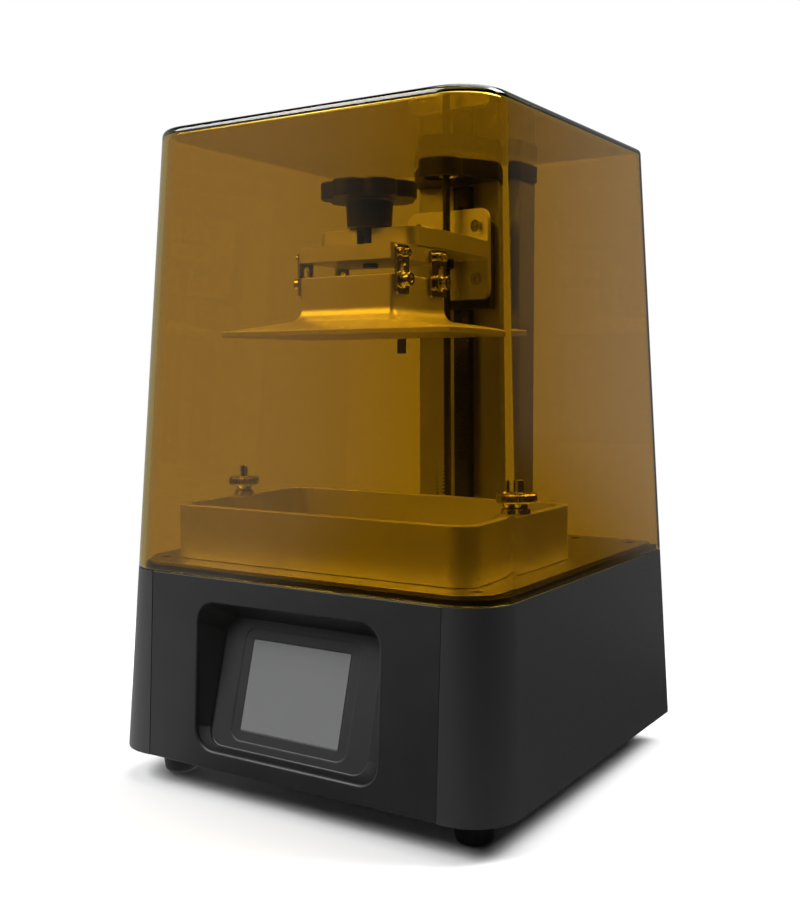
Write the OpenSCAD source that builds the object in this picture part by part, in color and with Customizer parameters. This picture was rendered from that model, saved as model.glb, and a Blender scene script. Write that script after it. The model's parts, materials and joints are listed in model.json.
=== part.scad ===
/* [Base] */
// Width of the base at its bottom edge
base_w = 225.4; // [222:0.1:230]
// Depth of the base at its bottom edge
base_d = 212.1; // [210:0.1:216]
// Height of the underside of the base above the ground
base_z = 16; // [15:0.5:17]
// Height of the ledge that the cover stands on
ledge_z = 109; // [108.5:0.5:109.5]
// Inward lean of the side faces for each mm of height
side_lean = 0.051; // [0.048:0.001:0.052]
// Inward lean of the front face for each mm of height
front_lean = 0.05; // [0.047:0.001:0.051]
// Inward lean of the back face for each mm of height
back_lean = 0.039; // [0.037:0.001:0.04]
// Radius of the two front corners
front_corner_r = 23.9; // [20:0.1:26]
// Radius of the two rear corners
rear_corner_r = 3.4; // [3:0.1:5]
// Wall of the base shell
shell_wall = 2.8; // [2.4:0.1:3]

/* [Cover] */
// Height of the top of the clear cover
cover_top_z = 330; // [330:0.5:334]
// Wall of the clear cover
cover_wall = 3; // [2.6:0.1:3]

/* [Drive] */
// Distance of the lead screw behind the centre
screw_y = 43; // [42.9:0.05:43]
// Radius of the lead screw
screw_r = 3; // [2.5:0.1:3]
// Height of the top of the column
column_top_z = 316; // [312:1:316]

/* [Vat and platform] */
// Depth position of the print area's centre
print_y = -28; // [-28.5:0.1:-27.8]
// Width of the build plate
plate_w = 135; // [130:1:136]
// Depth of the build plate
plate_d = 74; // [70:1:75]
// Height of the build plate's face
plate_z = 226.3; // [225:0.1:227]
// Width of the vat
vat_w = 176; // [174:0.5:177]
// Depth of the vat
vat_d = 107; // [104:0.5:107]
// Height of the rim of the vat
vat_rim_z = 141; // [136:0.5:142]

/* [Hidden] */
$fn = 48;
hull_fn = 40;
skin = 0.01;
through = 1;

// Top deck and top plate
deck_z = 105;
rim_z = 111.8;
bed_z = 113.5;
deck_inset = 3;
rim_inset = 3.8;
bed_half_w = 102;
bed_front_y = -96.2;
bed_back_y = 96.8;
light_w = 138;
light_d = 79;
lcd_w = 146;
lcd_d = 92;

// Front panel, leaning back with the front face, and its display pocket
fascia_w = 168.6;
fascia_gap = 0.15;
fascia_t = 2.9;
fascia_tilt = atan(front_lean);
display_tilt = 15.3;
display_z = 57.8;
display_depth = 8.9;
pocket_z = 61;
pocket_w = 106;
pocket_h = 72;
pocket_r = 10;
seat_w = 93;
seat_h = 63;
seat_r = 8;
window_w = 58;
window_h = 43.8;
pocket_wall = 2.4;

// Rear panel
back_tilt = atan(back_lean);
rear_z = 62;
rear_window_w = 150;
rear_window_h = 64;
rear_panel_t = 1.5;
fan_x = -38;
fan_size = 60;
fan_hole_pitch = 50;
port_x1 = 28;
port_x2 = 56;
port_hi = 12;
port_lo = -14;
rocker_off_tilt = -7;

// Column and rail
column_half_w = 32;
column_front_y = 71;
column_back_y = 90;
rail_half_w = 6;
rail_h = 8;
rail_z0 = 118;
rail_z1 = 314;
rail_hole_pitch = 28;
cap_z1 = 326;
cap_nose_r = 13;

// Carriage and arm
arm_plate_y0 = 52;
arm_plate_y1 = 58;
arm_half_w = 28;
arm_z0 = 249;
arm_z1 = 299;
arm_screw_x = 19;
arm_screw_z0 = 260;
arm_screw_z1 = 289;
carriage_half_w = 26.5;
carriage_d = 11.5;
fork_half_w = 29;
fork_front_y = -33.6;
fork_z0 = 270.8;
fork_z1 = 280.1;
fork_slot_half = 4.4;
run_gap = 0.06;

// Platform
stud_r = 4;
clamp_half_w = 28.3;
clamp_half_d = 23.2;
clamp_z0 = 263;
clamp_z1 = 270.4;
block_half_w = 27.9;
block_half_d = 22.8;
block_top_z = 255.7;
flare_foot_z = 233.5;
flare_r = 7;
plate_edge_t = 3;
bracket_dy = 16;
bracket_w = 11;
bracket_t = 1.5;
bracket_z0 = 246;
bracket_z1 = 269.5;
lock_z = 253;

// Vat
vat_y = -29.5;
vat_wall = 5;
vat_corner_r = 12;
vat_z = bed_z + 0.3;
film_half_w = 73.5;
film_half_d = 43;
nut_x = 83.4;
nut_y = -30;
nut_stud_r = 2;
nut_bore_r = 2.06;

// Lamp
lamp_z = 62;
motor_top_z = 76;
motor_half = 21.15;

function half_w(z) = base_w / 2 - side_lean * (z - base_z);
function front_y(z) = -base_d / 2 + front_lean * (z - base_z);
function back_y(z) = base_d / 2 - back_lean * (z - base_z);

// A flat outline, symmetric in x, with one radius at the front and one at the back
module round_outline(w, f, b, rf, rr) {
    polygon([
        [w - rf, f], [w, f + rf], [w, b - rr], [w - rr, b],
        [rr - w, b], [-w, b - rr], [-w, f + rf], [rf - w, f]
    ]);
    for (s = [-1, 1]) {
        translate([s * (w - rf), f + rf]) circle(rf);
        translate([s * (w - rr), b - rr]) circle(rr);
    }
}

// The outline of the whole body at height z, moved inward by inset
module body_outline(z, inset) {
    rf = max(front_corner_r - inset, 1);
    rr = max(rear_corner_r - inset, 1);
    round_outline(half_w(z) - inset, front_y(z) + inset, back_y(z) - inset, rf, rr);
}

// A thin slice of the body, for hulls
module body_slice(z, inset) {
    translate([0, 0, z])
        linear_extrude(skin) body_outline(z, inset, $fn = hull_fn);
}

module body_solid(z0, z1, inset) {
    hull() {
        body_slice(z0, inset);
        body_slice(z1 - skin, inset);
    }
}

module round_rect(w, h, r) {
    round_outline(w / 2, -h / 2, h / 2, r, r);
}

module round_slab(w, h, r, t) {
    linear_extrude(t) round_rect(w, h, r);
}

module ring(r_out, r_in, h) {
    difference() {
        cylinder(r = r_out, h = h);
        translate([0, 0, -through]) cylinder(r = r_in, h = h + 2 * through);
    }
}

// Places children on the front face: x right, y up the face, z outward
module on_front(z) {
    translate([0, front_y(z), z]) rotate([90 - fascia_tilt, 0, 0]) children();
}

// Places children on the display seat, which leans further back
module on_display() {
    translate([0, front_y(display_z) + display_depth, display_z])
        rotate([90 - display_tilt, 0, 0]) children();
}

// Places children on the back face: x to the right when seen from behind, y up, z outward
module on_back() {
    translate([0, back_y(rear_z), rear_z]) rotate([90 - back_tilt, 0, 180]) children();
}

// Places children at each of four points of a rectangle
module at_corners(dx, dy) {
    for (x = [-dx, dx])
        for (y = [-dy, dy])
            translate([x, y, 0]) children();
}

// A cap screw with its head above z = 0 and its shank below
module cap_screw(shank_r, shank_l, head_r, head_h) {
    difference() {
        union() {
            cylinder(r = head_r, h = head_h);
            translate([0, 0, -shank_l]) cylinder(r = shank_r, h = shank_l + head_h / 2);
        }
        translate([0, 0, head_h * 0.4]) cylinder(r = shank_r * 0.85, h = head_h, $fn = 6);
    }
}

module base_shell() {
    color("#3b3c3e")
        difference() {
            body_solid(base_z, ledge_z, 0);
            body_solid(base_z - through, ledge_z + through, shell_wall);
            translate([-fascia_w / 2, -base_d / 2 - 1, base_z - through])
                cube([fascia_w, 20, ledge_z - base_z + 2 * through]);
            on_back()
                translate([0, 0, -8]) round_slab(rear_window_w, rear_window_h, 3, 12);
            on_back()
                at_corners(rear_window_w / 2 + 2.6, rear_window_h / 2 + 2.6)
                    translate([0, 0, -8]) cylinder(r = 1.6, h = 12);
        }
}

module fascia_panel() {
    w = fascia_w - 2 * fascia_gap;
    translate([-w / 2, 0, 0]) rotate([90, 0, 90]) linear_extrude(w)
        polygon([
            [front_y(base_z), base_z], [front_y(base_z) + fascia_t, base_z],
            [front_y(ledge_z) + fascia_t, ledge_z], [front_y(ledge_z), ledge_z]
        ]);
}

// The display pocket, grown all round by wall and deepened by wall at its seat
module pocket(wall, lift) {
    hull() {
        on_front(pocket_z) translate([0, 0, lift])
            linear_extrude(skin)
                round_rect(pocket_w + 2 * wall, pocket_h + 2 * wall, pocket_r + wall, $fn = hull_fn);
        on_display() translate([0, 0, -wall])
            linear_extrude(skin)
                round_rect(seat_w + 2 * wall, seat_h + 2 * wall, seat_r + wall, $fn = hull_fn);
    }
}

module front_fascia() {
    color("#36373a")
        difference() {
            union() {
                fascia_panel();
                pocket(pocket_wall, -fascia_t + 0.2);
            }
            pocket(0, 0.4);
            on_display() translate([0, 0, -8]) round_slab(window_w, window_h, 0.8, 16);
        }
}

module display_glass() {
    color("#77797b")
        on_display() {
            translate([0, 0, -pocket_wall - 1.2]) round_slab(70, 54, 1.5, 1.15);
            translate([0, 0, -pocket_wall - 0.3]) round_slab(window_w - 0.4, window_h - 0.4, 0.6, 2.4);
        }
}

module display_board() {
    color("#1d5c3a")
        on_display()
            translate([0, 0, -pocket_wall - 1.2]) {
                translate([-34, -26, -3.2]) cube([68, 52, 3.2]);
                translate([-43, -27, -4.8]) cube([86, 54, 1.6]);
                translate([-36, -6, -7.6]) cube([7, 20, 2.9]);
                translate([14, -20, -6]) cube([12, 12, 1.3]);
            }
}

module rear_panel() {
    color("#2b2c2e")
        on_back()
            translate([0, 0, -shell_wall - rear_panel_t])
                difference() {
                    round_slab(rear_window_w + 10, rear_window_h + 10, 2, rear_panel_t);
                    translate([0, 0, -through]) {
                        translate([fan_x, 0, 0]) {
                            cylinder(r = 28.5, h = 4);
                            at_corners(fan_hole_pitch / 2, fan_hole_pitch / 2) cylinder(r = 2.1, h = 4);
                        }
                        translate([port_x1, port_hi, 0]) cylinder(r = 5.6, h = 4);
                        translate([port_x2 - 10.2, port_hi - 6.7, 0]) cube([20.4, 13.4, 4]);
                        translate([port_x1 - 7.2, port_lo - 3.6, 0]) cube([14.4, 7.2, 4]);
                        translate([port_x2 - 8.1, port_lo - 6.9, 0]) cube([16.2, 13.8, 4]);
                        at_corners(rear_window_w / 2 + 2.6, rear_window_h / 2 + 2.6)
                            cylinder(r = 1.3, h = 4);
                    }
                }
}

module rear_panel_screws() {
    color("#8d8f92")
        on_back()
            at_corners(rear_window_w / 2 + 2.6, rear_window_h / 2 + 2.6)
                cap_screw(1.3, 6, 2.5, 1.6);
}

module base_floor() {
    color("#6d6f72")
        difference() {
            translate([0, 0, base_z]) linear_extrude(2) body_outline(base_z, shell_wall + 0.25);
            translate([0, 0, base_z - through]) {
                at_feet() cylinder(r = 2.2, h = 4);
                for (x = [-30:10:30])
                    translate([x - 2, -62, 0]) cube([4, 44, 4]);
            }
        }
}

module at_feet() {
    for (s = [-1, 1]) {
        translate([s * 88, -79, 0]) children();
        translate([s * 88, 86, 0]) children();
    }
}

module feet() {
    color("#161617")
        at_feet()
            rotate_extrude()
                difference() {
                    union() {
                        polygon([[0, 3], [8.6, 3], [10.5, base_z], [0, base_z]]);
                        square([5.6, 4]);
                        translate([5.6, 3]) circle(3);
                    }
                    translate([0, -through]) square([2.3, base_z + 4]);
                    translate([0, -through]) square([3.6, 7 + through]);
                }
}

module foot_screws() {
    color("#9a9c9f")
        at_feet()
            translate([0, 0, 7]) rotate([180, 0, 0]) cap_screw(2, 13, 3.2, 3);
}

module top_deck() {
    color("#232325")
        difference() {
            union() {
                translate([0, 0, deck_z])
                    linear_extrude(ledge_z - deck_z) body_outline(ledge_z, deck_inset);
                translate([0, 0, ledge_z - 0.5])
                    linear_extrude(rim_z - ledge_z + 0.5) body_outline(ledge_z, rim_inset);
            }
            translate([-light_w / 2, print_y - light_d / 2, deck_z - through])
                cube([light_w, light_d, 12]);
            translate([0, screw_y, deck_z - through]) cylinder(r = 12, h = 12);
            translate([-42.9, 50.6, deck_z - through]) cube([15, 12, 12]);
            deck_holes(deck_z - through, 12);
            for (s = [-1, 1])
                translate([s * nut_x, nut_y, deck_z - through]) cylinder(r = nut_stud_r, h = 12);
        }
}

// Screw places of the top plate: four at its corners and two beside the vat
module at_plate_screws() {
    for (s = [-1, 1]) {
        translate([s * 91, -83.2, 0]) children();
        translate([s * 93, 87, 0]) children();
        translate([s * 60, 87, 0]) children();
    }
}

module deck_holes(z, h) {
    at_plate_screws() translate([0, 0, z]) cylinder(r = 1.6, h = h);
}

module top_plate() {
    color("#c9cacc")
        difference() {
            translate([0, 0, rim_z])
                linear_extrude(bed_z - rim_z)
                    round_outline(bed_half_w, bed_front_y, bed_back_y, 19, 5);
            translate([-lcd_w / 2, print_y - lcd_d / 2, rim_z - through]) cube([lcd_w, lcd_d, 4]);
            translate([0, screw_y, rim_z - through]) cylinder(r = 8, h = 4);
            translate([-39.5, 53.5, rim_z - through]) cube([8, 7, 4]);
            deck_holes(rim_z - through, 4);
            at_plate_screws() translate([0, 0, bed_z - 1.4]) cylinder(r1 = 1.6, r2 = 3.1, h = 1.5);
            for (s = [-1, 1])
                translate([s * nut_x, nut_y, rim_z - through]) cylinder(r = nut_stud_r, h = 4);
        }
}

module plate_screws() {
    color("#55575a")
        at_plate_screws()
            difference() {
                union() {
                    translate([0, 0, bed_z - 1.4]) cylinder(r1 = 1.5, r2 = 2.9, h = 1.35);
                    translate([0, 0, bed_z - 9.4]) cylinder(r = 1.5, h = 8.2);
                }
                translate([0, 0, bed_z - 0.9]) cylinder(r = 1, h = 2, $fn = 6);
            }
}

module lcd_panel() {
    color("#15161a")
        translate([-lcd_w / 2 + 1, print_y - lcd_d / 2 + 1, rim_z])
            cube([lcd_w - 2, lcd_d - 2, bed_z - rim_z]);
}

// The four-sided light box: each side leans out from the lamp to the screen
module shroud_solid(grow, z0, z1) {
    hull() {
        translate([-56 - grow, print_y - 31 - grow, z0]) cube([112 + 2 * grow, 62 + 2 * grow, skin]);
        translate([-69 - grow, print_y - 39.4 - grow, z1 - skin])
            cube([138 + 2 * grow, 78.8 + 2 * grow, skin]);
    }
}

module light_shroud() {
    color("#e4e5e6")
        difference() {
            shroud_solid(1.2, lamp_z + 4, deck_z);
            shroud_solid(0, lamp_z + 4 - skin, deck_z + skin);
        }
}

module led_board() {
    color("#f0f0ec")
        translate([-58, print_y - 33, lamp_z]) cube([116, 66, 1.6]);
}

module led_chips() {
    color("#e8d98a")
        for (x = [-50:12.5:50])
            for (y = [-25:12.5:25])
                translate([x - 1.8, print_y + y - 1.8, lamp_z + 1.6]) cube([3.6, 3.6, 1.4]);
}

module heatsink() {
    color("#a9abae")
        union() {
            translate([-58, print_y - 33, lamp_z - 5]) cube([116, 66, 5]);
            for (i = [0:14])
                translate([-58 + i * 8.16, print_y - 33, lamp_z - 24]) cube([1.7, 66, 19.5]);
        }
}

module lamp_bracket() {
    color("#7c7e81")
        for (s = [-1, 1])
            translate([s * 60, print_y, 0]) {
                translate([-2, -20, base_z + 2]) cube([4, 40, lamp_z - base_z - 2]);
                translate([s * 6 - 6, -20, base_z + 2]) cube([12, 40, 2]);
            }
}

module mainboard() {
    color("#16523a") {
        translate([-102, 2, 26]) cube([64, 84, 1.6]);
        translate([-92, 12, 27.5]) cube([14, 14, 1.6]);
        translate([-70, 40, 27.5]) cube([10, 10, 3]);
        translate([-60, 14, 27.5]) cube([12, 16, 9]);
        for (i = [0:3])
            translate([-92 + i * 9, 74, 27.5]) cube([6, 8, 7]);
        for (i = [0:2])
            translate([-90 + i * 11, 56, 27]) cylinder(r = 3.5, h = 11);
    }
}

module board_standoffs() {
    color("#b89b4c")
        translate([-70, 44, base_z + 2]) at_corners(28, 38) ring(3, 1.3, 26 - base_z - 2);
}

module dc_inlet() {
    color("#202022")
        on_back()
            translate([port_x1, port_hi, -shell_wall - rear_panel_t])
                union() {
                    difference() {
                        union() {
                            translate([0, 0, -13]) cylinder(r = 5.5, h = 13 + rear_panel_t + 0.2);
                            translate([0, 0, rear_panel_t]) cylinder(r = 7, h = 1.6);
                        }
                        translate([0, 0, -9]) cylinder(r = 2.9, h = 20);
                    }
                    translate([0, 0, -9.5]) cylinder(r = 1, h = 9.5);
                }
}

module switch_housing() {
    color("#1c1c1e")
        on_back()
            translate([port_x2, port_hi, -shell_wall])
                difference() {
                    union() {
                        translate([-10, -6.4, -14]) cube([20, 12.8, 14.5]);
                        translate([-11.6, -7.8, 0]) cube([23.2, 15.6, 1.6]);
                    }
                    translate([-8.4, -5.2, -8]) cube([16.8, 10.4, 12]);
                }
}

module rocker_profile() {
    polygon([[-7.4, 2.2], [0, 1], [7.4, 2.2], [6.6, -2.6], [0, -5.2], [-6.6, -2.6]]);
}

module switch_rocker() {
    color("#c0282d")
        on_back()
            translate([port_x2, port_hi, -shell_wall])
                rotate([0, rocker_off_tilt, 0])
                    translate([0, 4.7, 0]) rotate([90, 0, 0]) linear_extrude(9.4) rocker_profile();
}

module usb_port() {
    color("#b9bbbe")
        on_back()
            translate([port_x1, port_lo, -shell_wall - rear_panel_t - 12])
                difference() {
                    translate([-7, -3.4, 0]) cube([14, 6.8, 14]);
                    translate([-6.3, -2.7, 2]) cube([12.6, 5.4, 14]);
                }
}

module ethernet_port() {
    color("#aeb0b3")
        on_back()
            translate([port_x2, port_lo, -shell_wall - rear_panel_t - 13])
                difference() {
                    translate([-7.9, -6.7, 0]) cube([15.8, 13.4, 15]);
                    translate([-5.9, -4.6, 3]) cube([11.8, 8, 14]);
                    translate([-3, -5.8, 3]) cube([6, 3, 14]);
                }
}

module on_fan() {
    on_back() translate([fan_x, 0, -shell_wall - rear_panel_t]) children();
}

module fan_frame() {
    color("#1a1a1b")
        on_fan()
            translate([0, 0, -15]) {
                difference() {
                    round_slab(fan_size, fan_size, 4, 15);
                    translate([0, 0, -through]) cylinder(r = 28.5, h = 17);
                    at_corners(fan_hole_pitch / 2, fan_hole_pitch / 2)
                        translate([0, 0, -through]) cylinder(r = 2.1, h = 17);
                }
                cylinder(r = 13, h = 2);
                for (a = [45:90:315])
                    rotate([0, 0, a]) translate([12, -1.5, 0]) cube([17, 3, 2]);
                cylinder(r = 1.5, h = 11);
            }
}

module fan_rotor() {
    color("#232324")
        on_fan()
            translate([0, 0, -12.5])
                difference() {
                    union() {
                        cylinder(r = 12.5, h = 10.5);
                        for (i = [0:6])
                            rotate([0, 0, i * 360 / 7])
                                translate([11.5, 0, 5.2]) rotate([42, 0, 0])
                                    translate([0, -5.6, -0.7]) cube([15.3, 11.2, 1.4]);
                    }
                    translate([0, 0, -through]) cylinder(r = 1.56, h = 11);
                }
}

module fan_guard() {
    color("#9b9da0")
        on_fan()
            translate([0, 0, rear_panel_t + 0.9]) {
                for (r = [9, 18, 27])
                    ring(r + 0.8, r - 0.8, 1.6);
                for (a = [45, 135])
                    rotate([0, 0, a]) translate([-32, -0.9, -0.7]) cube([64, 1.8, 1.6]);
                at_corners(fan_hole_pitch / 2, fan_hole_pitch / 2)
                    translate([0, 0, -0.7]) ring(3.6, 2, 1.6);
            }
}

module fan_screws() {
    color("#77797c")
        on_fan()
            translate([0, 0, rear_panel_t + 1.8])
                at_corners(fan_hole_pitch / 2, fan_hole_pitch / 2) cap_screw(1.9, 14, 3.2, 1.6);
}

module stepper_motor() {
    color("#2a2a2c")
        translate([0, screw_y, 0])
            difference() {
                union() {
                    translate([0, 0, motor_top_z - 38])
                        round_slab(2 * motor_half, 2 * motor_half, 4, 38);
                    translate([0, 0, motor_top_z - 1]) cylinder(r = 11, h = 3);
                }
                translate([0, 0, motor_top_z - 30]) cylinder(r = 2.56, h = 40);
                translate([0, 0, motor_top_z - 5]) at_corners(15.5, 15.5) cylinder(r = 1.5, h = 8);
            }
}

module motor_shaft() {
    color("#c4c6c8")
        translate([0, screw_y, motor_top_z - 28]) cylinder(r = 2.5, h = 43.5);
}

module motor_standoffs() {
    color("#8f9194")
        translate([0, screw_y, motor_top_z])
            at_corners(15.5, 15.5) {
                cylinder(r = 3.5, h = deck_z - motor_top_z);
                translate([0, 0, -4]) cylinder(r = 1.45, h = 5);
            }
}

module coupler() {
    color("#b5b7ba")
        translate([0, screw_y, motor_top_z + 4])
            difference() {
                cylinder(r = 9.5, h = 24);
                translate([0, 0, -through]) cylinder(r = 2.5, h = 12.5);
                translate([0, 0, 11.4]) cylinder(r = screw_r, h = 14);
                for (z = [4, 20])
                    translate([0, 0, z]) rotate([90, 0, 0]) cylinder(r = 1.5, h = 12);
            }
}

module lead_screw() {
    color("#8b8d90")
        translate([0, screw_y, 92]) cylinder(r = screw_r, h = column_top_z + 6.5 - 92);
}

module top_bearing() {
    color("#cfd1d3")
        translate([0, screw_y, column_top_z + 1])
            difference() {
                ring(9.5, screw_r + run_gap, 6);
                translate([0, 0, 5.5]) ring(8, 4.6, 1);
                translate([0, 0, -0.5]) ring(8, 4.6, 1);
            }
}

module z_column() {
    h = column_top_z - bed_z;
    d = column_back_y - column_front_y;
    color("#4a4b4e")
        translate([0, 0, bed_z])
            difference() {
                translate([-column_half_w, column_front_y, 0]) cube([2 * column_half_w, d, h]);
                for (s = [-1, 1])
                    translate([s * 15.5 - 13.5, column_front_y + 5, -through])
                        cube([27, d - 8, h + 2 * through]);
            }
}

module column_cap() {
    color("#141415")
        difference() {
            translate([0, 0, column_top_z])
                linear_extrude(cap_z1 - column_top_z) cap_outline();
            translate([0, screw_y, column_top_z - through]) cylinder(r = 9.5, h = 8);
        }
}

// A block over the column with a round nose over the lead screw
module cap_outline() {
    w = column_half_w + 1.5;
    y = column_front_y - 3;
    polygon([
        [-w, column_back_y], [-w, y], [-cap_nose_r, screw_y],
        [cap_nose_r, screw_y], [w, y], [w, column_back_y]
    ]);
    translate([0, screw_y]) circle(cap_nose_r);
}

module linear_rail() {
    w = rail_half_w;
    y0 = column_front_y;
    color("#9fa1a4")
        difference() {
            translate([0, 0, rail_z0]) linear_extrude(rail_z1 - rail_z0)
                polygon([
                    [-w, y0], [-w, y0 - 3], [-w + 1, y0 - 4], [-w + 1, y0 - 5.6], [-w, y0 - 6.6],
                    [-w, y0 - rail_h], [w, y0 - rail_h], [w, y0 - 6.6], [w - 1, y0 - 5.6],
                    [w - 1, y0 - 4], [w, y0 - 3], [w, y0]
                ]);
            at_rail_screws() {
                translate([0, 0, -4.5]) cylinder(r = 3, h = 10);
                translate([0, 0, -12]) cylinder(r = 1.7, h = 14);
            }
        }
}

// Places children on the rail's face: z outward, at each screw
module at_rail_screws() {
    for (z = [rail_z0 + 14:rail_hole_pitch:rail_z1 - 10])
        translate([0, column_front_y - rail_h, z]) rotate([90, 0, 0]) children();
}

module rail_screws() {
    color("#5d5f62")
        at_rail_screws()
            translate([0, 0, -4.5]) cap_screw(1.5, 3.5, 2.8, 3);
}

module rail_carriage() {
    z0 = arm_z0 - 5;
    h = arm_z1 - arm_z0 - 1;
    color("#1b1b1d")
        translate([0, 0, z0])
            difference() {
                translate([-carriage_half_w, arm_plate_y1, 0]) cube([2 * carriage_half_w, carriage_d, h]);
                translate([-rail_half_w - 0.4, column_front_y - rail_h - 0.4, -through])
                    cube([2 * rail_half_w + 0.8, 12, h + 2 * through]);
            }
}

module z_arm() {
    color("#c3c4c6")
        difference() {
            union() {
                translate([0, arm_plate_y1, (arm_z0 + arm_z1) / 2])
                    rotate([90, 0, 0])
                        round_slab(2 * arm_half_w, arm_z1 - arm_z0, 6, arm_plate_y1 - arm_plate_y0);
                translate([0, 0, fork_z0])
                    linear_extrude(fork_z1 - fork_z0)
                        round_outline(fork_half_w, fork_front_y, arm_plate_y0 + 1, 6, 1);
            }
            translate([0, print_y, fork_z0 - 1]) cylinder(r = fork_slot_half, h = 12);
            translate([-fork_slot_half, fork_front_y - 1, fork_z0 - 1])
                cube([2 * fork_slot_half, print_y - fork_front_y + 1, 12]);
            translate([0, screw_y, fork_z0 - 1]) cylinder(r = 5.2, h = 12);
            at_arm_screws() translate([0, 0, -20]) cylinder(r = 2.1, h = 30);
        }
}

// Places children on the front of the arm's upright plate: z outward
module at_arm_screws() {
    for (x = [-arm_screw_x, arm_screw_x])
        for (z = [arm_screw_z0, arm_screw_z1])
            translate([x, arm_plate_y0, z]) rotate([90, 0, 0]) children();
}

module arm_screws() {
    color("#77797c")
        at_arm_screws() cap_screw(2, 5.9, 3.5, 3.4);
}

module lead_nut() {
    color("#1d1d1f")
        translate([0, screw_y, 0])
            difference() {
                union() {
                    translate([0, 0, fork_z1]) cylinder(r = 8.8, h = 3.2);
                    translate([0, 0, fork_z0 - 5]) cylinder(r = 5.1, h = 15);
                }
                translate([0, 0, fork_z0 - 8]) cylinder(r = screw_r + run_gap, h = 24);
            }
}

module limit_flag() {
    color("#121213") {
        translate([-38.2, 56, 219.2]) cube([5.6, 1.2, 44.8]);
        translate([-38.2, 56, 258]) cube([38.2 - arm_half_w, 1.9, 6]);
    }
}

module limit_sensor() {
    color("#1a1a1c")
        translate([-35.4, 56.6, 95])
            difference() {
                translate([-7, -5.5, 0]) cube([14, 11, 16.5]);
                translate([-8, -1.6, 5]) cube([16, 3.2, 20]);
            }
}

module clamp_plate() {
    color("#c3c4c6")
        difference() {
            translate([0, print_y, clamp_z0])
                round_slab(2 * clamp_half_w, 2 * clamp_half_d, 1.5, clamp_z1 - clamp_z0);
            translate([0, print_y, clamp_z0 - 1]) cylinder(r = stud_r + run_gap, h = 12);
            at_brackets()
                for (y = [-2.8, 2.8])
                    translate([0, y, 266]) rotate([0, 90, 0])
                        translate([0, 0, -6]) cylinder(r = 1, h = 8);
        }
}

// Places children at each bracket on the side of the clamp: x outward
module at_brackets() {
    for (s = [0, 180])
        translate([0, print_y, 0]) rotate([0, 0, s])
            for (y = [-bracket_dy, bracket_dy])
                translate([clamp_half_w, y, 0]) children();
}

module level_brackets() {
    h = bracket_z1 - bracket_z0;
    color("#707275")
        at_brackets()
            difference() {
                translate([0, 0, bracket_z0 + h / 2])
                    rotate([0, 90, 0]) round_slab(h, bracket_w, 1.5, bracket_t);
                translate([-1, -2.4, lock_z - 2.2]) cube([4, 4.8, 8.4]);
                for (z = [lock_z - 2.2, lock_z + 6.2])
                    translate([-1, 0, z]) rotate([0, 90, 0]) cylinder(r = 2.4, h = 4);
                for (y = [-2.8, 2.8])
                    translate([-1, y, 266]) rotate([0, 90, 0]) cylinder(r = 1.1, h = 4);
            }
}

module bracket_screws() {
    color("#8b8d90")
        at_brackets()
            for (y = [-2.8, 2.8])
                translate([bracket_t, y, 266]) rotate([0, 90, 0]) cap_screw(0.95, 6, 2, 1.8);
}

function flare(h) = flare_r - sqrt(pow(flare_r, 2) - pow(flare_r - h, 2));

module block_slice(z, grow) {
    translate([0, print_y, z])
        linear_extrude(skin)
            round_rect(2 * (block_half_w + grow), 2 * (block_half_d + grow), 1.5 + grow, $fn = 24);
}

module build_plate() {
    steps = 5;
    edge_z = plate_z + plate_edge_t;
    color("#bdbfc1")
        difference() {
            union() {
                translate([0, print_y, plate_z])
                    round_slab(plate_w, plate_d, 1, plate_edge_t);
                hull() {
                    translate([0, print_y, edge_z - skin])
                        linear_extrude(skin) round_rect(plate_w, plate_d, 1, $fn = 24);
                    block_slice(flare_foot_z, flare_r);
                }
                for (i = [0:steps - 1]) {
                    h0 = flare_r * i / steps;
                    h1 = flare_r * (i + 1) / steps;
                    hull() {
                        block_slice(flare_foot_z + h0, flare(h0));
                        block_slice(flare_foot_z + h1, flare(h1));
                    }
                }
                translate([0, print_y, edge_z])
                    round_slab(2 * block_half_w, 2 * block_half_d, 1.5, block_top_z - edge_z);
            }
            at_brackets()
                translate([-8, 0, lock_z]) rotate([0, 90, 0]) cylinder(r = 1.95, h = 10);
        }
}

module lock_screws() {
    color("#85878a")
        at_brackets()
            translate([bracket_t + 0.4, 0, lock_z]) rotate([0, 90, 0])
                union() {
                    translate([0, 0, 0.9]) cap_screw(1.95, 10, 3.3, 3.2);
                    cylinder(r = 4.2, h = 0.9);
                }
}

module star_knob() {
    color("#191919")
        translate([0, print_y, 0])
            difference() {
                union() {
                    translate([0, 0, 294.5]) linear_extrude(8.5) {
                        circle(21.4);
                        for (i = [0:6])
                            rotate([0, 0, i * 360 / 7 + 12]) translate([17.4, 0]) circle(7);
                    }
                    translate([0, 0, 280.6]) cylinder(r1 = 11.3, r2 = 11.9, h = 14.2);
                }
                translate([0, 0, 279]) cylinder(r = stud_r, h = 8);
            }
}

module knob_stud() {
    color("#a5a7aa")
        translate([0, print_y, clamp_z0 - 2]) cylinder(r = stud_r, h = 287 - clamp_z0 + 2);
}

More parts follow.
